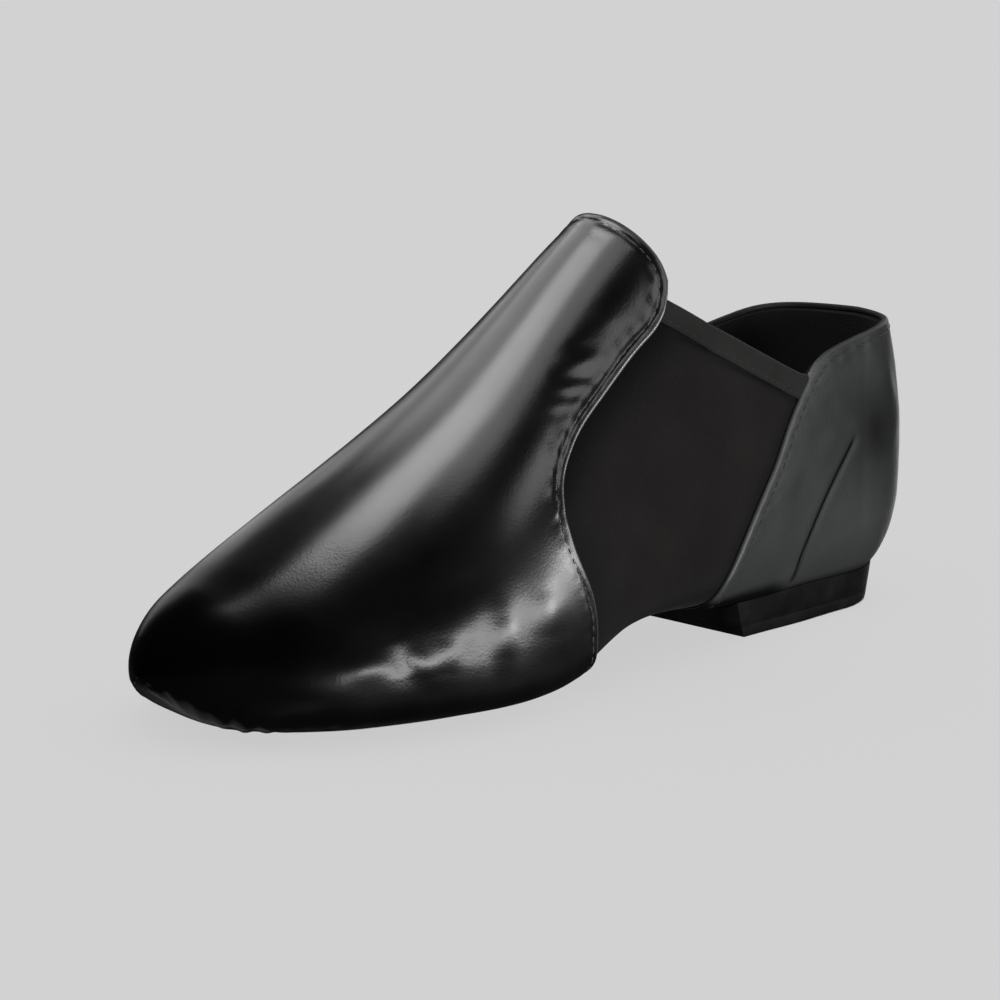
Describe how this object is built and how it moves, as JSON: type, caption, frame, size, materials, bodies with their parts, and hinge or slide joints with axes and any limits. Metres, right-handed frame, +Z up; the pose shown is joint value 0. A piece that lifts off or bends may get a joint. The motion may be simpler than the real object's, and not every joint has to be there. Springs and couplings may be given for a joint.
{
  "type": "jazz shoe",
  "caption": "Left slip-on jazz shoe with a split sole: leather vamp and heel counter, elastic side gores, low block heel.",
  "frame": {"origin": "bottom centre of the shoe's bounding box, on the floor it stands on", "axes": "+Y towards the heel and -Y towards the toe, +X towards the outer (lateral) side, +Z up"},
  "size_m": [0.0873, 0.245, 0.1176],
  "materials": {
    "elastic": "woven, matt",
    "gloss_leather": "smooth, glossy",
    "matt_leather": "smooth, semi-matt",
    "tape": "folded tape, matt",
    "sole_patch": "suede, matt",
    "heel_rubber": "moulded, matt",
    "sock": "brushed lining, matt"
  },
  "bodies": {
    "root": {"upper": "elastic", "vamp": "gloss_leather", "heel_counter": "matt_leather", "collar_binding_lateral": "tape", "collar_binding_medial": "tape", "forefoot_sole": "sole_patch", "heel": "heel_rubber", "insole": "sock"}
  },
  "joints": []
}
